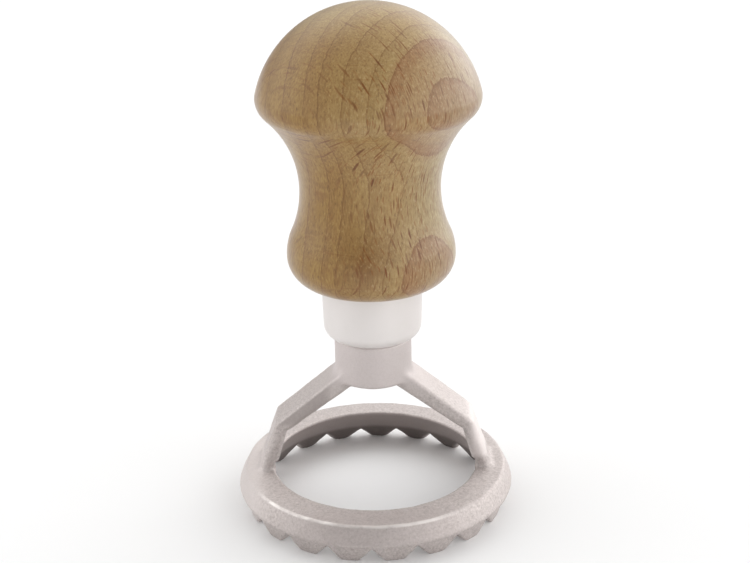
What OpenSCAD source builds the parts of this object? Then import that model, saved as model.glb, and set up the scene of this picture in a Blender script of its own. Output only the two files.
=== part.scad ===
// Round pastry stamp cutter. A turned beech knob sits in a drawn aluminium cup, and one
// wood screw ties both to a cast frame: boss, two arched arms and a toothed cutting ring.
// Lengths are in mm, +Z is up along the handle, the arms lie along X, and the origin is
// the centre of the ring on the plane of the tooth tips.

/* [Cutting ring] */
// Outside diameter of the ring wall
ring_d = 65; // [60:0.5:72]
// Opening through the ring at its top face
bore_d = 48; // [45:0.5:50]
// Height of the ring from tooth tips to top face
ring_h = 9.4; // [8:0.1:12]
// Height of the lower edge of the smooth outer wall
wall_z = 4; // [3.6:0.1:4.6]
// Number of teeth around the ring
tooth_count = 19; // [13:1:23]
// Depth of the notches between teeth, measured at the outer wall
notch_depth = 3.8; // [1.5:0.1:4]
// Width of a notch at the tip plane
notch_w = 7.2; // [5:0.1:7.5]
// Angle of the first notch from the front, toward +X
notch_phase = 17; // [0:0.5:18.5]

/* [Arms] */
// Width of each arm, along Y
arm_w = 11; // [7:0.1:12]
// Thickness of each arm at the elbow
arm_t = 3.1; // [2.8:0.1:4]
// Thickness of each arm where it meets the boss and the ring
arm_root_t = 3.9; // [3:0.1:4.6]
// Distance from the axis to the outside of the elbow
elbow_x = 23.2; // [21:0.1:25]
// Height of the outside of the elbow
elbow_z = 21; // [18:0.1:23]
// Distance from the axis to the outside of the foot on the ring
foot_x = 27.4; // [26.8:0.1:28.5]
// Height where the upper line of the arm meets the boss
shoulder_z = 32.6; // [32:0.1:36]

/* [Boss] */
// Diameter of the boss
boss_d = 17.8; // [15:0.1:20]
// Height of the underside of the boss
boss_z = 31.5; // [30.5:0.1:32.5]
// Height of the top face of the boss, where the cup stands
seat_z = 41.7; // [40:0.1:46]
// Counterbore diameter for screw head and washer
cbore_d = 11.4; // [11:0.1:12.4]
// Counterbore depth from the underside
cbore_depth = 5; // [4.6:0.1:6.5]
// Clearance hole for the screw
screw_hole_d = 5.4; // [5.3:0.1:6]

/* [Cup] */
// Outside diameter of the cup at its rim
cup_d = 23; // [22:0.1:26]
// Taper of the cup, in diameter from rim to floor
cup_taper = 0.5; // [0:0.1:1]
// Depth of the cup from rim to underside
cup_h = 13.1; // [12:0.1:18]
// Sheet thickness
cup_t = 0.8; // [0.5:0.1:1.2]
// Outside radius of the rounded bottom edge
cup_r = 3; // [2:0.1:4]

/* [Handle] */
// Widest diameter of the knob
knob_d = 49.3; // [48:0.1:50.4]
// Radius of the domed crown
crown_r = 25.3; // [25.3:0.1:32]
// Radius between crown and widest line
rim_r = 4; // [2.5:0.1:8]
// Radius under the widest line
lip_r = 5; // [3:0.1:6]
// Diameter of the waist
waist_d = 31.4; // [29:0.1:33]
// Hollow radius above the waist
hollow_top_r = 23; // [20:0.5:30]
// Hollow radius below the waist
hollow_low_r = 24; // [18:0.5:28]
// Diameter of the lower swelling
swell_d = 38.1; // [37:0.1:40]
// Radius of the lower swelling above its widest line
swell_r = 13; // [11:0.5:18]
// Radius of the lower edge
base_r = 6.9; // [4:0.1:7.2]

/* [Screw and washer] */
// Length of the screw under its head
screw_len = 32; // [26:1:40]
// Outside diameter of the thread
thread_d = 5; // [4.5:0.1:5.2]
// Core diameter of the thread
core_d = 3.4; // [3:0.1:3.8]
// Distance between thread ridges
pitch = 2.2; // [1.8:0.1:3]
// Head diameter
head_d = 9.2; // [8:0.1:10]
// Head height
head_h = 2.9; // [2.4:0.1:3.2]
// Washer outside diameter
washer_d = 10.4; // [9.5:0.1:10.8]
// Washer thickness
washer_t = 1.2; // [0.8:0.1:1.5]

/* [Hidden] */
$fn = 96;
eps = 0.01;
ring_ro = ring_d / 2;
bore_ri = bore_d / 2;
boss_r = boss_d / 2;
// outer edge of the ring's top face
edge_r = ring_ro - 1.95;
edge_z = ring_h - 0.45;
cbore_z = boss_z + cbore_depth;
washer_z = cbore_z - washer_t;
head_z = washer_z - head_h;
rim_z = seat_z + cup_h;
cup_ro = cup_d / 2;
cup_rf = cup_ro - cup_taper / 2;
tenon_z = seat_z + cup_t + 0.1;
tenon_r = cup_rf - cup_t - 0.05;
// tangent-arc layout of the knob, from the lower edge up
swell_ro = swell_d / 2;
swell_z = rim_z + base_r;
swell_cx = swell_ro - swell_r;
low_cx = waist_d / 2 + hollow_low_r;
low_sum = swell_r + hollow_low_r;
waist_z = swell_z + sqrt(low_sum * low_sum - pow(low_cx - swell_cx, 2));
knob_ro = knob_d / 2;
lip_cx = knob_ro - lip_r;
top_cx = waist_d / 2 + hollow_top_r;
top_sum = lip_r + hollow_top_r;
knob_z = waist_z + sqrt(top_sum * top_sum - pow(top_cx - lip_cx, 2));
rim_cx = knob_ro - rim_r;
crown_cz = knob_z - sqrt(pow(crown_r - rim_r, 2) - rim_cx * rim_cx);
crown_z = crown_cz + crown_r;
// tangent points between the arcs
low_tx = swell_cx + (low_cx - swell_cx) * swell_r / low_sum;
low_tz = swell_z + (waist_z - swell_z) * swell_r / low_sum;
top_tx = lip_cx + (top_cx - lip_cx) * lip_r / top_sum;
top_tz = knob_z - (knob_z - waist_z) * lip_r / top_sum;
crown_tx = rim_cx * crown_r / (crown_r - rim_r);
crown_tz = crown_cz + (knob_z - crown_cz) * crown_r / (crown_r - rim_r);
// screw heights
thread_z = seat_z + cup_t + 1;
tip_z = washer_z + screw_len;
ridge_count = floor((tip_z - 4 - thread_z) / pitch);
pilot_d = core_d + 0.2;
pilot_top = tip_z + 2;

// Part of the half plane between two heights, used to keep one stretch of an arc.
module band(z0, z1) {
    translate([0, z0]) square([80, z1 - z0]);
}

// Round disc in the section plane.
module disc(x, z, r) {
    translate([x, z]) circle(r = r);
}

// Half section of the knob: straight core, convex arcs added, hollows cut away.
module knob_section() {
    difference() {
        union() {
            polygon([
                [0, rim_z],
                [swell_ro - base_r, rim_z],
                [swell_ro, swell_z],
                [low_tx, low_tz],
                [waist_d / 2 + eps, waist_z],
                [top_tx, top_tz],
                [knob_ro, knob_z],
                [crown_tx, crown_tz],
                [0, crown_tz]
            ]);
            intersection() {
                disc(swell_ro - base_r, swell_z, base_r);
                band(rim_z, swell_z);
            }
            intersection() {
                disc(swell_cx, swell_z, swell_r);
                band(swell_z, low_tz);
            }
            intersection() {
                disc(lip_cx, knob_z, lip_r);
                band(top_tz, knob_z);
            }
            intersection() {
                disc(rim_cx, knob_z, rim_r);
                band(knob_z, crown_tz);
            }
            intersection() {
                disc(0, crown_cz, crown_r);
                band(crown_tz, crown_z + 1);
            }
        }
        intersection() {
            disc(low_cx, waist_z, hollow_low_r);
            band(low_tz, waist_z);
        }
        intersection() {
            disc(top_cx, waist_z, hollow_top_r);
            band(waist_z, top_tz);
        }
    }
}

// Turned knob with the tenon that fills the cup and the pilot bore for the screw.
module beech_handle() {
    color([0.76, 0.58, 0.38])
    difference() {
        union() {
            rotate_extrude() knob_section();
            translate([0, 0, tenon_z + cup_r]) cylinder(h = rim_z - tenon_z - cup_r + eps, r = tenon_r);
            translate([0, 0, tenon_z]) cylinder(h = cup_r + eps, r1 = tenon_r - cup_r, r2 = tenon_r);
        }
        translate([0, 0, tenon_z - 1]) cylinder(h = pilot_top - tenon_z + 1, d = pilot_d);
        translate([0, 0, pilot_top - eps]) cylinder(h = 2, d1 = pilot_d, d2 = 0.4);
    }
}

// Section of one skin of the cup, drawn solid down to its rounded floor.
module cup_section(z0, r_floor, r_rim, r_edge) {
    union() {
        polygon([
            [0, z0],
            [r_floor - r_edge, z0],
            [r_floor - r_edge, z0 + r_edge],
            [r_floor, z0 + r_edge],
            [r_rim, rim_z],
            [0, rim_z]
        ]);
        intersection() {
            disc(r_floor - r_edge, z0 + r_edge, r_edge);
            band(z0, z0 + r_edge);
        }
    }
}

// Drawn cup: thin wall, rounded bottom edge, hole for the screw in the floor.
module ferrule() {
    color([0.86, 0.85, 0.84])
    difference() {
        rotate_extrude() cup_section(seat_z, cup_rf, cup_ro, cup_r);
        rotate_extrude() intersection() {
            translate([0, 0]) cup_section(seat_z + cup_t, cup_rf - cup_t, cup_ro - cup_t, cup_r - cup_t);
            band(0, rim_z);
        }
        translate([0, 0, rim_z - eps]) cylinder(h = 1, r = cup_ro - cup_t);
        translate([0, 0, seat_z - 1]) cylinder(h = 4, d = screw_hole_d);
    }
}

// Half section of the ring: gently sloping top, crisp edge over a sloping outer wall,
// recessed tooth band, and an inner wall that flares outward toward the tips.
module ring_section() {
    union() {
        polygon([
            [bore_ri, ring_h - 0.5],
            [bore_ri + 0.5, ring_h],
            [edge_r, edge_z],
            [ring_ro, wall_z + 0.9],
            [ring_ro, wall_z + 0.7],
            [ring_ro - 0.7, wall_z],
            [ring_ro - 1.2, wall_z - 0.2],
            [ring_ro - 2, 0],
            [ring_ro - 3.5, 0]
        ]);
        disc(ring_ro - 0.7, wall_z + 0.7, 0.7);
    }
}

// V-shaped cutter for one notch. Its root line rises a little toward the outside.
module notch() {
    half = notch_w / 2;
    slope = notch_depth / half;
    root = 0.2;
    translate([ring_ro, 0, 0]) rotate([0, -9, 0])
    rotate([90, 0, -90]) translate([0, 0, -3]) linear_extrude(height = 14)
    polygon([
        [-half - 2 / slope, -2],
        [half + 2 / slope, -2],
        [root, notch_depth - root * slope],
        [-root, notch_depth - root * slope]
    ]);
}

// One arched arm: a strut from the boss to the elbow and a leg to the ring. Both are
// slimmest at the elbow and grow toward their roots, with straight outer lines.
module arm() {
    strut = atan2(shoulder_z - elbow_z, elbow_x - boss_r);
    leg = atan2(elbow_z - ring_h, foot_x - elbow_x);
    half = arm_t / 2;
    bend = (leg - strut) / 2;
    // centre of the elbow, half a thickness inside both outer lines
    cx = elbow_x - half * sin((leg + strut) / 2) / cos(bend);
    cz = elbow_z - half * cos((leg + strut) / 2) / cos(bend);
    run = (cx - 3) / cos(strut);
    drop = (cz - ring_h + 1.5) / sin(leg);
    inner = arm_root_t - half;
    translate([0, arm_w / 2, 0]) rotate([90, 0, 0]) linear_extrude(height = arm_w) union() {
        translate([cx, cz]) circle(r = half);
        translate([cx, cz]) rotate(180 - strut) polygon([
            [0, -half],
            [run, -half],
            [run, inner],
            [0, half]
        ]);
        translate([cx, cz]) rotate(-leg) polygon([
            [0, half],
            [drop, half],
            [drop, -inner],
            [0, -half]
        ]);
    }
}

// One casting: boss with counterbored hole, both arms and the toothed ring.
module cutter_frame() {
    color([0.78, 0.74, 0.73])
    difference() {
        union() {
            difference() {
                rotate_extrude() ring_section();
                for (i = [0 : tooth_count - 1]) {
                    rotate([0, 0, -90 + notch_phase + i * 360 / tooth_count]) notch();
                }
            }
            translate([0, 0, boss_z]) cylinder(h = seat_z - boss_z, d = boss_d);
            arm();
            mirror([1, 0, 0]) arm();
        }
        translate([0, 0, boss_z - 6]) cylinder(h = cbore_depth + 6, d = cbore_d);
        translate([0, 0, boss_z]) cylinder(h = seat_z, d = screw_hole_d);
        rotate_extrude() polygon([
            [0, -1],
            [ring_ro - 3.5, 0],
            [bore_ri, ring_h - 0.5],
            [bore_ri, ring_h + 1],
            [0, ring_h + 1]
        ]);
    }
}

// Half section of one thread ridge, a sharp collar around the core.
module ridge(z) {
    translate([0, 0, z]) rotate_extrude() polygon([
        [0, 0],
        [core_d / 2 - 0.1, 0],
        [thread_d / 2, pitch * 0.36],
        [thread_d / 2, pitch * 0.44],
        [core_d / 2 - 0.1, pitch * 0.8],
        [0, pitch * 0.8]
    ]);
}

// Pan-head wood screw with a cross recess, driven up through the boss into the handle.
module fixing_screw() {
    color([0.66, 0.66, 0.68])
    difference() {
        union() {
            translate([0, 0, head_z + 1.2]) cylinder(h = head_h - 1.2, d = head_d);
            translate([0, 0, head_z]) cylinder(h = 1.2 + eps, d1 = head_d - 2.4, d2 = head_d);
            translate([0, 0, washer_z - eps]) cylinder(h = thread_z - washer_z + eps, d = core_d + 1);
            translate([0, 0, thread_z - eps]) cylinder(h = tip_z - 4 - thread_z + 2 * eps, d = core_d);
            translate([0, 0, tip_z - 4]) cylinder(h = 4, d1 = core_d, d2 = 0.4);
            for (i = [0 : ridge_count - 1]) {
                ridge(thread_z + i * pitch);
            }
        }
        for (a = [45, 135]) {
            rotate([0, 0, a]) translate([-2.3, -0.6, head_z - 1]) cube([4.6, 1.2, 2.8]);
        }
    }
}

// Plain washer between the screw head and the floor of the counterbore.
module plain_washer() {
    color([0.74, 0.74, 0.75])
    translate([0, 0, washer_z])
    difference() {
        cylinder(h = washer_t, d = washer_d);
        translate([0, 0, -1]) cylinder(h = washer_t + 2, d = core_d + 1.4);
    }
}

beech_handle();
ferrule();
cutter_frame();
fixing_screw();
plain_washer();
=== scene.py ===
"""Round pastry stamp cutter: beech knob, drawn cup and cast frame with a toothed ring.

Metres, in the row frame: +Z up the handle, arms along X, origin on the plane of the tips.
"""

import math

import bpy
import numpy as np
from mathutils import Matrix


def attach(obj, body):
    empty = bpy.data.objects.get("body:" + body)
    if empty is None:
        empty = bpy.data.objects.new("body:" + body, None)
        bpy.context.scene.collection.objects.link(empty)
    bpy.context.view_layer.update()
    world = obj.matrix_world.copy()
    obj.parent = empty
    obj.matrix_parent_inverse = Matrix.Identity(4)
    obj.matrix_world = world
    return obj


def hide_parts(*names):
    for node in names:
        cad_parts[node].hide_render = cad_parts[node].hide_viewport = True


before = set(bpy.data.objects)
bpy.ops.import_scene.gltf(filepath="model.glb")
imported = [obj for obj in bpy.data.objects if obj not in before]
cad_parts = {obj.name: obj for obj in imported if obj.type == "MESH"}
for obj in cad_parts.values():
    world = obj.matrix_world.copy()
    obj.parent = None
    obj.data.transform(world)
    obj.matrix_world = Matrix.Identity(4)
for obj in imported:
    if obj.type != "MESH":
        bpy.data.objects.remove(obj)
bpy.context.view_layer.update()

MM = 0.001


# ---------------------------------------------------------------- node helpers
class Net:
    """The node tree of a material or world, built from small calls that return sockets."""

    def __init__(self, owner):
        owner.use_nodes = True
        self.owner = owner
        self.tree = owner.node_tree
        self.tree.nodes.clear()

    def node(self, kind, inputs=None, **props):
        made = self.tree.nodes.new(kind)
        for key, value in props.items():
            setattr(made, key, value)
        for key, value in (inputs or {}).items():
            self.feed(made.inputs[key], value)
        return made

    def feed(self, socket, value):
        if isinstance(value, bpy.types.NodeSocket):
            self.tree.links.new(value, socket)
        else:
            socket.default_value = value

    def math(self, operation, *values):
        made = self.node("ShaderNodeMath", operation=operation)
        for i, value in enumerate(values):
            self.feed(made.inputs[i], value)
        return made.outputs[0]

    def add(self, a, b):
        return self.math("ADD", a, b)

    def sub(self, a, b):
        return self.math("SUBTRACT", a, b)

    def mul(self, a, b):
        return self.math("MULTIPLY", a, b)

    def remap(self, value, low, high, to_low=0.0, to_high=1.0, smooth=True):
        made = self.node(
            "ShaderNodeMapRange",
            {0: value, 1: low, 2: high, 3: to_low, 4: to_high},
            interpolation_type="SMOOTHSTEP" if smooth else "LINEAR",
        )
        return made.outputs[0]

    def vector(self, x, y, z):
        return self.node("ShaderNodeCombineXYZ", {0: x, 1: y, 2: z}).outputs[0]

    def noise(self, vector, scale=1.0, detail=2.0, roughness=0.5, color=False):
        made = self.node(
            "ShaderNodeTexNoise",
            {"Vector": vector, "Scale": scale, "Detail": detail, "Roughness": roughness},
        )
        return made.outputs["Color" if color else "Fac"]

    def mix(self, factor, a, b, blend="MIX"):
        made = self.node("ShaderNodeMix", data_type="RGBA", blend_type=blend)
        self.feed(made.inputs[0], factor)
        self.feed(made.inputs[6], a)
        self.feed(made.inputs[7], b)
        return made.outputs[2]

    def dot(self, vector, direction):
        """Dot product of two vectors, as a value."""
        made = self.node("ShaderNodeVectorMath", {0: vector, 1: direction}, operation="DOT_PRODUCT")
        return made.outputs["Value"]

    def normal(self):
        return self.node("ShaderNodeTexCoord").outputs["Normal"]

    def position_mm(self):
        """Object coordinates in millimetres, as (vector, x, y, z)."""
        coords = self.node("ShaderNodeTexCoord").outputs["Object"]
        scaled = self.node("ShaderNodeVectorMath", operation="SCALE")
        self.feed(scaled.inputs[0], coords)
        scaled.inputs["Scale"].default_value = 1.0 / MM
        parts = self.node("ShaderNodeSeparateXYZ", {0: scaled.outputs[0]})
        return scaled.outputs[0], parts.outputs[0], parts.outputs[1], parts.outputs[2]

    def surface(self, **inputs):
        shader = self.node("ShaderNodeBsdfPrincipled")
        for key, value in inputs.items():
            self.feed(shader.inputs[key.replace("_", " ")], value)
        out = self.node("ShaderNodeOutputMaterial")
        self.tree.links.new(shader.outputs[0], out.inputs[0])
        return self.owner

    def bump(self, height, distance, strength=1.0):
        made = self.node(
            "ShaderNodeBump", {"Height": height, "Strength": strength, "Distance": distance}
        )
        return made.outputs[0]


def rgb(r, g, b):
    """An sRGB colour, 0 to 255, as linear RGBA."""
    out = []
    for c in (r, g, b):
        c = c / 255.0
        out.append(c / 12.92 if c <= 0.04045 else ((c + 0.055) / 1.055) ** 2.4)
    return (*out, 1.0)


# ---------------------------------------------------------------- ring sizes, in mm
RING_R, BORE_R, RING_H, WALL_Z = 32.5, 24.0, 9.4, 4.0
EDGE_R, EDGE_Z = RING_R - 1.95, RING_H - 0.45


# ---------------------------------------------------------------- materials
GRAIN_AZIMUTH = math.radians(48)  # direction of the growth layers' normal, from -Y to +X
# depth of each layer's edge, in mm from the handle's axis toward the heart of the tree
LAYER_LINES = (-30, -25.5, -20.5, -15.5, -10.3, -4.5, 1.3, 4.6, 9.8, 14.6, 17.7, 22.8, 29)
GRAIN_LEAN = 0.06  # how far the layers lean forward per mm of height in the head
GRAIN_SWELL = 1.1  # how far they stand forward above the bulb, in mm
GRAIN_SWEEP = 0.2  # how far they lean forward per mm of depth in the bulb
PITH_DISTANCE = 95.0  # from the handle's axis to the heart of the tree, in mm
PATCH_DEPTH = 10.5  # layer depth of the dark patch low on the bulb
RAY_FILL = 0.72  # part of a cell that a ray fills


def beech():
    """Oiled beech: growth layers, rays, fibres and pores, with shade painted on side and top."""
    net = Net(bpy.data.materials.new("beech_satin"))
    _, x, y, z = net.position_mm()
    sin_a, cos_a = math.sin(GRAIN_AZIMUTH), math.cos(GRAIN_AZIMUTH)
    along = net.sub(net.mul(x, sin_a), net.mul(y, cos_a))
    across = net.add(net.mul(x, cos_a), net.mul(y, sin_a))

    # slow wander of the grain, long along the handle
    stretched = net.vector(net.mul(x, 1 / 16), net.mul(y, 1 / 16), net.mul(z, 1 / 55))
    slow = net.noise(stretched, detail=2.0, color=True)
    wander = net.node("ShaderNodeSeparateColor", {0: slow})
    along = net.add(along, net.mul(net.sub(wander.outputs[0], 0.5), 3.4))
    lean = net.mul(net.math("MAXIMUM", net.sub(z, 90.0), 0.0), GRAIN_LEAN)
    swell = net.mul(net.remap(z, 60.0, 70.0), net.remap(z, 84.0, 73.0))
    lean = net.add(lean, net.mul(swell, GRAIN_SWELL))
    lean = net.add(lean, net.mul(net.math("MAXIMUM", net.sub(66.0, z), 0.0), GRAIN_SWEEP))
    side = net.remap(along, 3.0, 15.0)
    along = net.add(along, lean)
    across_w = net.add(across, net.mul(net.sub(wander.outputs[1], 0.5), 2.4))

    # growth layers: circles about a far pith, turned into a running layer number
    reach = net.sub(PITH_DISTANCE, along)
    radius = net.math("SQRT", net.add(net.mul(reach, reach), net.mul(across, across)))
    ragged = net.noise(net.vector(net.mul(x, 0.9), net.mul(y, 0.9), net.mul(z, 0.25)), detail=2.0)
    depth = net.add(net.sub(PITH_DISTANCE, radius), net.mul(net.sub(ragged, 0.5), 0.7))
    low, high = LAYER_LINES[0], LAYER_LINES[-1]
    ramp = net.node("ShaderNodeValToRGB", {0: net.remap(depth, low, high, smooth=False)})
    stops = ramp.color_ramp.elements
    last = len(LAYER_LINES) - 1
    for i, line in enumerate(LAYER_LINES):
        if i == 0:
            stop = stops[0]
        elif i == last:
            stop = stops[-1]
        else:
            stop = stops.new((line - low) / (high - low))
        stop.color = (i / last,) * 3 + (1,)
    number = net.mul(ramp.outputs[0], last)
    layer = net.math("FLOOR", number)
    frac = net.math("FRACT", number)
    tint = net.node("ShaderNodeTexWhiteNoise", {"W": net.add(layer, 3.7)}, noise_dimensions="1D")
    late = net.remap(frac, 0.0, 0.7, 1.0, 0.0)
    line = net.mul(net.remap(frac, 0.0, 0.1, 1.0, 0.0), net.remap(frac, 0.0, 0.02))
    second = net.remap(net.math("ABSOLUTE", net.sub(frac, 0.36)), 0.0, 0.07, 1.0, 0.0)
    outer = net.remap(depth, 16.8, 17.4)
    patch_low = net.mul(net.remap(z, 64.0, 76.0, 1.0, 0.0), net.remap(z, 57.0, 64.0))
    off_patch = net.math("ABSOLUTE", net.sub(depth, PATCH_DEPTH))
    patch = net.mul(net.remap(off_patch, 1.0, 7.0, 1.0, 0.0), patch_low)

    # rays: thin upright sheets running towards the pith, broad and faint where cut flat
    normal = net.normal()
    flat = net.math("ABSOLUTE", net.dot(normal, (cos_a, sin_a, 0.0)))
    fade = net.remap(flat, 0.7, 0.97, 1.0, 0.3)
    split = net.node("ShaderNodeSeparateXYZ", {0: normal})
    rightward, upward = split.outputs[0], split.outputs[2]
    # and fainter on the dome's upper left
    dome = net.mul(net.remap(upward, 0.45, 0.8), net.remap(x, 4.0, -8.0))
    fade = net.mul(fade, net.sub(1.0, net.mul(dome, 0.75)))

    def rays(thick, tall, long, keep, seed):
        place = net.vector(net.add(net.mul(across_w, RAY_FILL / thick), seed),
                           net.mul(z, RAY_FILL / tall), net.mul(along, RAY_FILL / long))
        cells = net.node(
            "ShaderNodeTexVoronoi",
            {"Vector": place, "Scale": 1.0, "Randomness": 1.0},
            voronoi_dimensions="3D",
        )
        pick = net.node("ShaderNodeSeparateColor", {0: cells.outputs["Color"]})
        chosen = net.math("LESS_THAN", pick.outputs[0], keep)
        body = net.remap(cells.outputs["Distance"], 0.24, 0.46, 1.0, 0.0)
        strength = net.remap(pick.outputs[1], 0.0, 1.0, 0.35, 1.0, smooth=False)
        return net.mul(net.mul(net.mul(body, chosen), strength), fade)

    big = rays(0.30, 2.7, 7.0, 0.34, 11.3)
    small = rays(0.24, 1.5, 4.0, 0.42, 47.1)
    bold = rays(0.42, 2.6, 5.0, 0.13, 29.7)
    # seen on the faces cut along the rays: thin level lines
    threads = net.mul(rays(7.0, 0.34, 12.0, 0.13, 83.9), net.remap(flat, 0.35, 0.75))

    # fibres and mottling
    fibre = net.noise(net.vector(net.mul(x, 2.2), net.mul(y, 2.2), net.mul(z, 0.6)), detail=3.0,
                      roughness=0.6)
    pores = net.noise(net.vector(net.mul(x, 3.2), net.mul(y, 3.2), net.mul(z, 0.9)), detail=2.0)
    mottle = net.noise(net.vector(net.mul(x, 0.11), net.mul(y, 0.11), net.mul(z, 0.06)), detail=3.0)

    color = net.mix(mottle, rgb(160, 128, 74), rgb(176, 147, 96))
    color = net.mix(net.mul(tint.outputs["Value"], 0.35), color, rgb(160, 120, 76))
    color = net.mix(net.mul(late, 0.25), color, rgb(128, 90, 46))
    reddish = net.mul(net.mul(outer, net.remap(late, 0.0, 1.0, 0.35, 1.0)), 0.5)
    color = net.mix(reddish, color, rgb(150, 100, 64))
    color = net.mix(net.mul(patch, 0.52), color, rgb(118, 70, 26))
    color = net.mix(net.mul(line, 0.6), color, rgb(114, 66, 16))
    color = net.mix(net.mul(second, 0.14), color, rgb(118, 72, 24))
    color = net.mix(net.remap(fibre, 0.4, 0.7, 0.0, 0.42), color, rgb(122, 86, 46))
    color = net.mix(net.remap(fibre, 0.45, 0.25, 0.0, 0.35), color, rgb(194, 168, 122))
    color = net.mix(net.remap(pores, 0.55, 0.75, 0.0, 0.5), color, rgb(98, 64, 32))
    color = net.mix(net.remap(pores, 0.42, 0.25, 0.0, 0.4), color, rgb(198, 172, 128))
    color = net.mix(net.mul(threads, 0.5), color, rgb(128, 76, 22))
    color = net.mix(net.mul(small, 0.7), color, rgb(134, 76, 22))
    color = net.mix(net.mul(big, 0.95), color, rgb(118, 62, 10))
    color = net.mix(net.mul(bold, 0.9), color, rgb(104, 50, 4))
    # painted shade and light: yellower on the bark side, a painted sheen paler to the right and a
    # painted highlight on top
    shade = net.mix(side, (0.80, 0.71, 0.42, 1.0), (0.95, 0.99, 1.02, 1.0))
    shade = net.mix(net.remap(rightward, 0.3, 0.9), shade, (0.92, 1.10, 1.48, 1.0))
    shade = net.mix(net.remap(upward, 0.72, 0.97), shade, (0.98, 1.02, 0.86, 1.0))
    color = net.mix(1.0, color, shade, "MULTIPLY")

    height = net.sub(net.mul(fibre, 0.4), net.add(net.mul(big, 0.5), net.mul(pores, 0.35)))
    rough = net.remap(fibre, 0.3, 0.7, 0.40, 0.52)
    return net.surface(
        Base_Color=color, Roughness=rough, Normal=net.bump(height, 0.00004, 0.6),
        IOR=1.32, Coat_Weight=1.0, Coat_IOR=1.35, Coat_Roughness=0.32,
    )


def cast_metal():
    """Sand-cast skin: grain, specks, a smoother boss and a painted highlight on the ring's front
    edge.
    """
    net = Net(bpy.data.materials.new("cast_aluminium_grain"))
    position, x, y, z = net.position_mm()
    radius = net.math("SQRT", net.add(net.mul(x, x), net.mul(y, y)))
    grain = net.noise(position, scale=2.4, detail=3.0, roughness=0.62)
    fine = net.noise(position, scale=6.5, detail=2.0)
    cloud = net.noise(position, scale=0.12, detail=3.0)
    smooth_boss = net.remap(z, 30.5, 33.0)
    normal = net.normal()
    outward = net.dot(normal, net.vector(x, y, 0.0))
    inward = net.math("DIVIDE", outward, net.mul(radius, -1.0))
    inner_wall = net.mul(net.remap(inward, 0.35, 0.8), net.remap(z, RING_H - 0.5, RING_H, 1.0, 0.0))
    # highlight painted along the ring's upper edge, at the front only, where the edge is also a
    # little smoother
    off_edge = net.math("ABSOLUTE", net.sub(radius, EDGE_R + 0.05))
    near_top = net.remap(z, EDGE_Z - 0.7, EDGE_Z - 0.4)
    edge_highlight = net.mul(net.remap(off_edge, 0.12, 0.42, 1.0, 0.0), near_top)
    edge_highlight = net.mul(edge_highlight, net.remap(net.noise(position, scale=0.25), 0.35, 0.6, 0.45, 1.0))
    ahead = net.math("DIVIDE", net.sub(net.mul(x, -0.2), y), radius)
    edge_highlight = net.mul(edge_highlight, net.remap(ahead, 0.62, 0.82, 0.0, 1.0))

    color = net.mix(cloud, rgb(195, 186, 183), rgb(205, 197, 194))
    color = net.mix(net.remap(grain, 0.35, 0.68, 0.0, 0.35), color, rgb(179, 170, 166))
    specks = net.noise(position, scale=1.7, detail=4.0, roughness=0.7)
    gritty = net.remap(z, 27.0, 31.0, 1.0, 0.0)
    dark_specks = net.mul(gritty, net.remap(specks, 0.46, 0.7, 0.0, 0.5))
    color = net.mix(dark_specks, color, rgb(150, 140, 136))
    pale_specks = net.mul(gritty, net.remap(specks, 0.46, 0.26, 0.0, 0.5))
    color = net.mix(pale_specks, color, rgb(230, 222, 219))
    color = net.mix(net.mul(smooth_boss, 0.75), color, rgb(208, 199, 197))
    # shade painted on: boss right, ring front, right leg, left arm, ring left, inner wall
    boss_right = net.mul(smooth_boss, net.remap(x, 1.0, 8.0, 0.0, 0.5))
    color = net.mix(boss_right, color, rgb(178, 170, 167))
    low = net.remap(z, 11.0, 13.0, 1.0, 0.0)
    band = net.mul(low, net.remap(z, 3.8, 5.2))
    front_side = net.mul(band, net.remap(net.mul(y, -1.0), 20.0, 30.0, 0.0, 0.5))
    color = net.mix(front_side, color, rgb(178, 168, 165))
    leg = net.mul(net.remap(x, 21.0, 23.5), net.remap(z, 11.0, 13.0))
    color = net.mix(net.mul(leg, 0.8), color, rgb(228, 220, 217))
    facing = net.remap(net.node("ShaderNodeSeparateXYZ", {0: normal}).outputs[1], -0.6, -0.9)
    arm = net.mul(net.remap(x, -9.0, -12.0), net.remap(z, 20.0, 22.0))
    color = net.mix(net.mul(net.mul(facing, arm), 0.8), color, rgb(168, 159, 156))
    left_side = net.mul(low, net.remap(net.mul(x, -1.0), 23.0, 29.0, 0.0, 0.8))
    color = net.mix(left_side, color, rgb(214, 206, 203))
    color = net.mix(inner_wall, color, rgb(164, 154, 151))
    wall_foot = net.mul(inner_wall, net.remap(z, 5.0, 3.4, 0.0, 0.6))
    color = net.mix(wall_foot, color, rgb(84, 76, 73))
    # painted highlight on the ring's front edge
    color = net.mix(net.mul(edge_highlight, 0.8), color, rgb(244, 238, 234))
    height = net.add(net.mul(grain, 0.75), net.mul(fine, 0.35))
    height = net.mul(height, net.remap(smooth_boss, 0.0, 1.0, 1.0, 0.35))
    rough = net.sub(net.remap(grain, 0.3, 0.7, 0.50, 0.62), net.mul(edge_highlight, 0.15))
    return net.surface(
        Base_Color=color, Metallic=0.62, Roughness=rough, Normal=net.bump(height, 0.00007, 0.8),
    )


def drawn_metal():
    """Satin of the drawn cup, with shade painted on its right side."""
    net = Net(bpy.data.materials.new("drawn_aluminium_satin"))
    position, x, y, z = net.position_mm()
    radial = net.math("ARCTAN2", y, x)
    streak = net.noise(net.vector(net.mul(radial, 9.0), 0.0, net.mul(z, 7.0)), detail=3.0)
    cloud = net.noise(position, scale=0.2, detail=2.0)
    color = net.mix(cloud, rgb(224, 219, 216), rgb(230, 225, 223))
    color = net.mix(net.remap(x, 2.0, 10.0, 0.0, 0.5), color, rgb(196, 190, 187))
    return net.surface(
        Base_Color=color, Metallic=0.4, Roughness=net.remap(streak, 0.3, 0.7, 0.42, 0.50),
        Normal=net.bump(streak, 0.00001, 0.5),
    )


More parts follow.
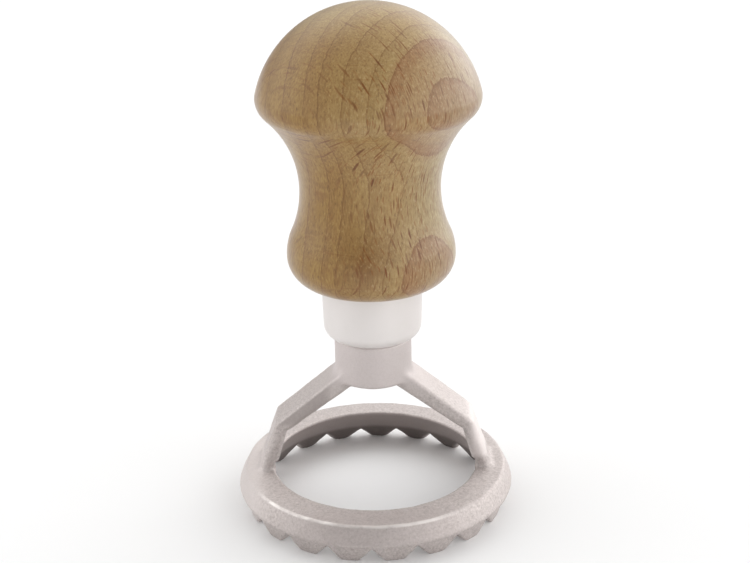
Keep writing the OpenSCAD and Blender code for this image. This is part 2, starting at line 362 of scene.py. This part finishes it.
def zinc_metal(name, tone):
    """Plated steel of a fastener; tone is its middle grey, 0 to 255."""
    net = Net(bpy.data.materials.new(name))
    position = net.position_mm()[0]
    grain = net.noise(position, scale=3.0, detail=3.0)
    color = net.mix(grain, rgb(tone - 12, tone - 10, tone - 6), rgb(tone + 6, tone + 6, tone + 10))
    return net.surface(
        Base_Color=color, Metallic=1.0, Roughness=net.remap(grain, 0.3, 0.7, 0.24, 0.36),
        Normal=net.bump(grain, 0.00001, 0.5),
    )


# ---------------------------------------------------------------- mesh helpers
def make_object(name, verts, faces, material, sharp_deg=38):
    mesh = bpy.data.meshes.new(name)
    mesh.from_pydata(verts, [], faces)
    mesh.update()
    mesh.polygons.foreach_set("use_smooth", [True] * len(mesh.polygons))
    mesh.set_sharp_from_angle(angle=math.radians(sharp_deg))
    mesh.materials.append(material)
    made = bpy.data.objects.new(name, mesh)
    bpy.context.scene.collection.objects.link(made)
    return made


def lathe(name, outline, material, segments=192, sharp_deg=38):
    """Turns a closed outline of (radius, height) points in mm about Z. Radius 0 makes a pole."""
    angles = np.linspace(0.0, 2.0 * math.pi, segments, endpoint=False)
    verts, rows = [], []
    for r, h in outline:
        if r < 1e-6:
            rows.append([len(verts)] * segments)
            verts.append((0.0, 0.0, h * MM))
        else:
            start = len(verts)
            rows.append(list(range(start, start + segments)))
            verts += [(r * MM * math.cos(a), r * MM * math.sin(a), h * MM) for a in angles]
    faces = []
    count = len(rows)
    for i in range(count):
        upper, lower = rows[i], rows[(i + 1) % count]
        for j in range(segments):
            k = (j + 1) % segments
            quad = [upper[j], upper[k], lower[k], lower[j]]
            face = [v for n, v in enumerate(quad) if v != quad[n - 1]]
            if len(set(face)) >= 3:
                faces.append(face[::-1])
    return make_object(name, verts, faces, material, sharp_deg)


def arc(cx, cz, radius, start, end, steps):
    """Points on an arc in the (radius, height) plane; angles in radians."""
    return [(cx + radius * math.cos(a), cz + radius * math.sin(a))
            for a in np.linspace(start, end, steps)]


# ---------------------------------------------------------------- turned handle
RIM_Z = 54.8  # where knob and cup meet
SEAT_Z = 41.7  # where cup and boss meet
# half widths of knob, waist and swell, and the radii of the arcs between them
KNOB = dict(knob=24.65, crown=25.3, rim=4.0, lip=5.0, waist=15.7, top=23.0, low=24.0,
            swell=19.05, swell_r=13.0, base=6.9)


def handle_outline():
    """Closed outline of the turned knob: tangent arcs from crown to base, tenon, pilot bore."""
    k = KNOB
    swell_z = RIM_Z + k["base"]
    swell_cx = k["swell"] - k["swell_r"]
    low_cx = k["waist"] + k["low"]
    low_sum = k["swell_r"] + k["low"]
    waist_z = swell_z + math.sqrt(low_sum ** 2 - (low_cx - swell_cx) ** 2)
    lip_cx = k["knob"] - k["lip"]
    top_cx = k["waist"] + k["top"]
    top_sum = k["lip"] + k["top"]
    knob_z = waist_z + math.sqrt(top_sum ** 2 - (top_cx - lip_cx) ** 2)
    rim_cx = k["knob"] - k["rim"]
    crown_z = knob_z - math.sqrt((k["crown"] - k["rim"]) ** 2 - rim_cx ** 2)
    low_angle = math.atan2(waist_z - swell_z, low_cx - swell_cx)
    top_angle = math.atan2(knob_z - waist_z, top_cx - lip_cx)
    crown_angle = math.atan2(knob_z - crown_z, rim_cx)
    points = arc(0, crown_z, k["crown"], math.pi / 2, crown_angle, 60)[:-1]
    points[0] = (0.0, crown_z + k["crown"])
    points += arc(rim_cx, knob_z, k["rim"], crown_angle, 0, 26)[:-1]
    points += arc(lip_cx, knob_z, k["lip"], 0, -top_angle, 16)[:-1]
    points += arc(top_cx, waist_z, k["top"], math.pi - top_angle, math.pi, 36)[:-1]
    points += arc(low_cx, waist_z, k["low"], math.pi, math.pi + low_angle, 24)[:-1]
    points += arc(swell_cx, swell_z, k["swell_r"], low_angle, 0, 16)[:-1]
    points += arc(k["swell"] - k["base"], swell_z, k["base"], 0, -math.pi / 2, 20)
    tenon_z, tenon_r, chamfer = SEAT_Z + 0.9, 10.4, 3.0
    pilot_r, pilot_z, pilot_tip = 1.8, SEAT_Z + 27.0, SEAT_Z + 29.0
    points += [(tenon_r, RIM_Z), (tenon_r, tenon_z + chamfer), (tenon_r - chamfer, tenon_z)]
    points += [(pilot_r, tenon_z), (pilot_r, pilot_z), (0.0, pilot_tip)]
    return points


# ---------------------------------------------------------------- drawn cup
def cup_outline():
    """Closed outline of the drawn cup, from the hole in its floor round its rolled rim."""
    rim_r, floor_r, edge, sheet, hole = 11.5, 11.25, 3.0, 0.8, 2.7
    lip = sheet / 2
    points = [(hole, SEAT_Z), (floor_r - edge, SEAT_Z)]
    points += arc(floor_r - edge, SEAT_Z + edge, edge, -math.pi / 2, 0, 18)[1:]
    points += arc(rim_r - lip, RIM_Z - lip, lip, 0, math.pi, 10)
    inner = edge - sheet
    points += arc(floor_r - edge, SEAT_Z + edge, inner, 0, -math.pi / 2, 14)
    points += [(hole, SEAT_Z + sheet)]
    return points


# ---------------------------------------------------------------- casting
TEETH, NOTCH_PHASE = 19, math.radians(17.0)
NOTCH_DEPTH, NOTCH_HALF, NOTCH_TILT = 3.85, 3.6, math.tan(math.radians(19.5))
ARM_W, ARM_T, ARM_ROOT_T = 11.0, 3.1, 3.9
BOSS_R, BOSS_Z = 8.9, 31.5
SHOULDER_Z, ELBOW, FOOT_X = 32.6, (23.2, 21.0), 27.4
CBORE_R, CBORE_Z, HOLE_R = 5.7, 36.5, 2.7


def smooth_min(a, b, k):
    h = np.maximum(k - np.abs(a - b), 0.0) / k
    return np.minimum(a, b) - h * h * k * 0.25


def smooth_max(a, b, k):
    return -smooth_min(-a, -b, k)


def polygon_distance(u, v, corners):
    """Signed distance in the plane from (u, v) to a closed polygon, negative inside."""
    best = np.full(u.shape, 1e9, np.float32)
    sign = np.ones(u.shape, np.float32)
    for i, (bu, bv) in enumerate(corners):
        au, av = corners[i - 1]
        eu, ev = au - bu, av - bv
        wu, wv = u - bu, v - bv
        t = np.clip((wu * eu + wv * ev) / (eu * eu + ev * ev), 0.0, 1.0)
        best = np.minimum(best, (wu - eu * t) ** 2 + (wv - ev * t) ** 2)
        over, under, left = v >= bv, v < av, eu * wv > ev * wu
        flip = (over & under & left) | (~over & ~under & ~left)
        sign = np.where(flip, -sign, sign)
    return sign * np.sqrt(best)


def slab(d_plane, d_axis, rounding):
    """Distance to a shape that is d_plane in one plane and d_axis along the other axis."""
    p, q = d_plane + rounding, d_axis + rounding
    outside = np.hypot(np.maximum(p, 0.0), np.maximum(q, 0.0))
    return outside + np.minimum(np.maximum(p, q), 0.0) - rounding


def ring_outline():
    """Section of the ring: crisp upper edge, sloping wall, recessed tooth band, flared bore."""
    return [
        (BORE_R + 0.05, RING_H - 0.5), (BORE_R + 0.45, RING_H - 0.1),
        (EDGE_R - 0.25, EDGE_Z + 0.02), (EDGE_R + 0.2, EDGE_Z - 0.25), (RING_R - 0.85, 7.0),
        (RING_R, WALL_Z + 0.9), (RING_R, WALL_Z + 0.5), (RING_R - 0.35, WALL_Z),
        (RING_R - 1.1, WALL_Z - 0.2), (RING_R - 1.95, 0.0), (RING_R - 3.4, 0.0),
    ]


def ring_distance(x, y, z):
    r = np.hypot(x, y)
    body = polygon_distance(r, z, ring_outline())
    pitch = 2.0 * math.pi / TEETH
    start = -0.5 * math.pi + NOTCH_PHASE
    off = np.mod(np.arctan2(y, x) - start + 0.5 * pitch, pitch) - 0.5 * pitch
    t = np.sqrt((off * (RING_R - 1.0)) ** 2 + 0.1 ** 2) - 0.1
    slope = NOTCH_DEPTH / NOTCH_HALF
    root = NOTCH_DEPTH + (r - RING_R) * NOTCH_TILT
    notch = (z - root + t * slope) / math.sqrt(1.0 + slope * slope)
    # the teeth are crisp outside and round inside
    soft = 0.3 + 1.6 * np.clip((30.6 - r) / 1.6, 0.0, 1.0)
    return smooth_max(body, -notch, soft)


def arm_outline(rounding):
    """Outline of an arm seen from the front, drawn this much inside its true edges."""
    into_boss, into_ring = 26.0, 16.0  # how far the two stretches run from the elbow
    strut = math.atan2(SHOULDER_Z - ELBOW[1], ELBOW[0] - BOSS_R)
    leg = math.atan2(ELBOW[1] - RING_H, FOOT_X - ELBOW[0])
    mean, bend = (leg + strut) / 2, (leg - strut) / 2

    def inside(depth):
        step = depth / math.cos(bend)
        return (ELBOW[0] - step * math.sin(mean), ELBOW[1] - step * math.cos(mean))

    def walk(start, angle, length):
        return (start[0] + length * math.cos(angle), start[1] + length * math.sin(angle))

    outer, inner = inside(rounding), inside(ARM_T - rounding)
    # the inner lines drift away from the outer ones toward boss and ring
    to_boss = math.pi - strut + math.atan2(ARM_ROOT_T - ARM_T, ELBOW[0] - 3.0)
    to_ring = -leg - math.atan2(ARM_ROOT_T - ARM_T, ELBOW[1] - RING_H)
    return [
        walk(outer, math.pi - strut, into_boss), outer, walk(outer, -leg, into_ring),
        walk(inner, to_ring, into_ring), inner, walk(inner, to_boss, into_boss),
    ]


def arm_distance(x, y, z):
    rounding = 1.2
    d = polygon_distance(np.abs(x), z, arm_outline(rounding)) - rounding
    edge = 0.9 + 0.7 * np.clip((ELBOW[1] - z) / 4.0, 0.0, 1.0)
    return slab(d, np.abs(y) - ARM_W / 2, edge)


def boss_distance(x, y, z):
    r = np.hypot(x, y)
    mid, half = (SEAT_Z + BOSS_Z) / 2, (SEAT_Z - BOSS_Z) / 2
    return slab(r - BOSS_R, np.abs(z - mid) - half, 0.45)


def casting_distance(x, y, z):
    r = np.hypot(x, y)
    arms = arm_distance(x, y, z)
    # keep the feet inside the ring's section and out of its bore
    flare_r, flare_z = 0.88, 0.48  # normal of the flared bore
    bore = (BORE_R - r) * flare_r - np.minimum(z - RING_H, 0.0) * flare_z
    arms = smooth_max(arms, np.where(z < RING_H + 2.0, bore, -9.0), 0.4)
    arms = np.maximum(arms, 1.0 - z + 3.0)
    body = smooth_min(arms, ring_distance(x, y, z), 1.1)
    body = smooth_min(body, boss_distance(x, y, z), 1.4)
    bore_up = np.maximum(r - HOLE_R, -(z - BOSS_Z + 5.0))
    counter = np.maximum(r - CBORE_R, z - CBORE_Z)
    body = smooth_max(body, -np.minimum(bore_up, counter), 0.35)
    return np.maximum(body, z - SEAT_Z)


def wobble(x, y, z):
    """Small unevenness of the sand-cast skin, in mm."""
    a = np.sin(x * 0.83 + 1.3) * np.sin(y * 0.71 + z * 0.53)
    b = np.sin(x * 1.9 - y * 1.3 + 0.4) * np.sin(z * 1.7 + y * 0.9)
    return 0.035 * a + 0.02 * b


def casting_field(x, y, z):
    return casting_distance(x, y, z) + wobble(x, y, z)


def untangle(values):
    """Flips the weakest corner of every grid face whose corners alternate in sign.

    Such a face would give the mesh an edge that four quads share.
    """
    for _ in range(12):
        inside = values < 0.0
        tangled = 0
        for axis in range(3):
            steps = np.eye(3, dtype=int)
            step_u, step_v = steps[(axis + 1) % 3], steps[(axis + 2) % 3]
            offsets = (0 * step_u, step_u, step_u + step_v, step_v)
            size = np.array(values.shape) - step_u - step_v
            a, b, c, d = (
                inside[tuple(slice(o, o + n) for o, n in zip(off, size))] for off in offsets
            )
            for place in np.argwhere((a == c) & (b == d) & (a != b)):
                corners = [tuple(place + off) for off in offsets]
                weakest = min(corners, key=lambda corner: abs(values[corner]))
                values[weakest] = -values[weakest]
                tangled += 1
        if not tangled:
            break


def surface_nets(field, low, cell, shape):
    """Closed quad mesh of the zero level of field, on a grid of that cell size."""
    axes = [low[i] + cell * np.arange(shape[i], dtype=np.float32) for i in range(3)]
    values = np.full(shape, 5.0, np.float32)
    for k in range(0, shape[2], 24):
        zz = axes[2][k:k + 24]
        gx, gy, gz = np.meshgrid(axes[0], axes[1], zz, indexing="ij")
        r = np.hypot(gx, gy)
        # outside these bounds there is only air
        near = ((gz < RING_H + 1.5) & (r > 22.5) & (r < 33.5)) | (
            (np.abs(gy) < 10.0) & (np.abs(gx) < 30.0))
        block = values[:, :, k:k + 24]
        block[near] = field(gx[near], gy[near], gz[near])
    untangle(values)
    inside = values < 0.0
    total = np.zeros([n - 1 for n in shape], np.int8)
    corners = [(i, j, k) for i in (0, 1) for j in (0, 1) for k in (0, 1)]

    def part(array, c):
        return array[c[0]:shape[0] - 1 + c[0], c[1]:shape[1] - 1 + c[1], c[2]:shape[2] - 1 + c[2]]

    for c in corners:
        total += part(inside, c)
    active = (total > 0) & (total < 8)
    index = np.full(active.shape, -1, np.int32)
    cells = np.argwhere(active)
    index[active] = np.arange(len(cells))
    sums = np.zeros((len(cells), 3))
    hits = np.zeros(len(cells))
    for c in corners:
        for axis in range(3):
            if c[axis]:
                continue
            e = list(c)
            e[axis] = 1
            va = values[tuple((cells + c).T)]
            vb = values[tuple((cells + e).T)]
            cut = (va < 0) != (vb < 0)
            t = np.where(cut, va / np.where(cut, va - vb, 1.0), 0.0)
            point = np.tile(np.array(c, float), (len(cells), 1))
            point[:, axis] += t
            sums += point * cut[:, None]
            hits += cut
    verts = (cells + sums / hits[:, None]) * cell + np.array(low)
    quads = []
    for axis in range(3):
        u, v = (axis + 1) % 3, (axis + 2) % 3
        a = np.take(inside, range(shape[axis] - 1), axis)
        b = np.take(inside, range(1, shape[axis]), axis)
        for where, turn in ((a & ~b, False), (~a & b, True)):
            edge = np.argwhere(where)
            edge = edge[(edge[:, u] > 0) & (edge[:, v] > 0)]
            step_u, step_v = np.eye(3, dtype=int)[u], np.eye(3, dtype=int)[v]
            loop = [edge - step_u - step_v, edge - step_v, edge, edge - step_u]
            ids = np.stack([index[tuple(p.T)] for p in loop], 1)
            quads.append(ids[:, ::-1] if turn else ids)
    return verts, np.vstack(quads)


def settle(verts, field, rounds=3):
    """Moves the vertices onto the field's zero level along its slope."""
    h = 0.04
    for _ in range(rounds):
        x, y, z = verts.T
        value = field(x, y, z)
        slope = np.stack([
            field(x + h, y, z) - field(x - h, y, z),
            field(x, y + h, z) - field(x, y - h, z),
            field(x, y, z + h) - field(x, y, z - h),
        ], 1) / (2 * h)
        size = np.maximum((slope ** 2).sum(1), 0.25)
        step = np.clip(value / size, -0.12, 0.12)
        verts = verts - slope * step[:, None]
    return verts


def build_casting(material):
    cell = 0.34
    low = (-33.6, -33.6, -0.97)  # keeps the flat faces off the grid's planes
    size = (67.2, 67.2, 43.8)
    shape = tuple(int(math.ceil(side / cell)) + 1 for side in size)
    verts, quads = surface_nets(casting_field, low, cell, shape)
    verts = settle(verts, casting_field)
    return make_object("cast_frame_body", (verts * MM).tolist(), quads.tolist(), material, 60)


# ---------------------------------------------------------------- pieces
wood = beech()
casting = build_casting(cast_metal())
handle = lathe("turned_knob", handle_outline(), wood, 224)
cup = lathe("drawn_cup", cup_outline(), drawn_metal(), 160)
for piece, node, slot in (
    (handle, "beech_handle", "beech"),
    (cup, "ferrule", "drawn_aluminium"),
    (casting, "cutter_frame", "cast_aluminium"),
):
    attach(piece, "root")
    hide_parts(node)
for node, tone in (("fixing_screw", 176), ("plain_washer", 190)):
    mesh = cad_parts[node].data
    mesh.materials.clear()
    mesh.materials.append(zinc_metal("zinc_" + node, tone))

# ---------------------------------------------------------------- stage, light, camera
floor_net = Net(bpy.data.materials.new("studio_floor"))
floor_cloud = floor_net.noise(floor_net.position_mm()[0], scale=0.01)
floor_mat = floor_net.surface(
    Base_Color=floor_net.mix(floor_cloud, (0.9, 0.9, 0.9, 1), (0.91, 0.91, 0.91, 1)),
    Roughness=0.9, Specular_IOR_Level=0.1,
)
FLOOR_HALF = 4  # half the floor's side, in metres
signs = ((-1, -1), (1, -1), (1, 1), (-1, 1))
floor_corners = [(FLOOR_HALF * i, FLOOR_HALF * j, 0) for i, j in signs]
floor = make_object("studio_floor", floor_corners, [(0, 1, 2, 3)], floor_mat)

# wide soft lights standing round the table: azimuth from the front toward +X, elevation, strength
SKY = ((180, 55, 0.7), (-135, 55, 1.3), (45, 15, 1.2), (90, 15, 1.6), (135, 15, 2.4),
       (-90, 15, 1.75), (45, -5, 0.66), (-45, -5, 0.74))
SKY_SPREAD = 6.0  # how quickly each light fades away from its middle


def sky_light(world):
    net = Net(world)
    direction = net.node("ShaderNodeTexCoord").outputs["Generated"]
    total = 0.0
    for azimuth, elevation, strength in SKY:
        a, e = math.radians(azimuth - 90), math.radians(elevation)
        toward = (math.cos(e) * math.cos(a), math.cos(e) * math.sin(a), math.sin(e))
        lobe = net.math("EXPONENT", net.mul(net.sub(net.dot(direction, toward), 1.0), SKY_SPREAD))
        total = net.add(total, net.mul(lobe, strength))
    glow = net.node("ShaderNodeBackground", {"Color": (1.0, 1.0, 1.0, 1.0), "Strength": total})
    net.node("ShaderNodeOutputWorld", {"Surface": glow.outputs[0]})


bpy.context.scene.world = bpy.data.worlds.new("studio")
sky_light(bpy.context.scene.world)

CAMERA_AT, CAMERA_LENS = (0.0007, -0.2869, 0.1643), 64.8  # metres, mm
CAMERA_DOWN, CAMERA_ROLL = 20.95, -1.05  # degrees below level, degrees of roll
camera_data = bpy.data.cameras.new("camera")
camera_data.sensor_width = 36.0
camera_data.lens = CAMERA_LENS
camera_data.clip_start = 0.01
camera = bpy.data.objects.new("camera", camera_data)
bpy.context.scene.collection.objects.link(camera)
camera.matrix_world = (
    Matrix.Translation(CAMERA_AT)
    @ Matrix.Rotation(math.radians(90 - CAMERA_DOWN), 4, "X")
    @ Matrix.Rotation(math.radians(CAMERA_ROLL), 4, "Z")
)
bpy.context.scene.camera = camera
bpy.context.scene.view_settings.view_transform = "Standard"
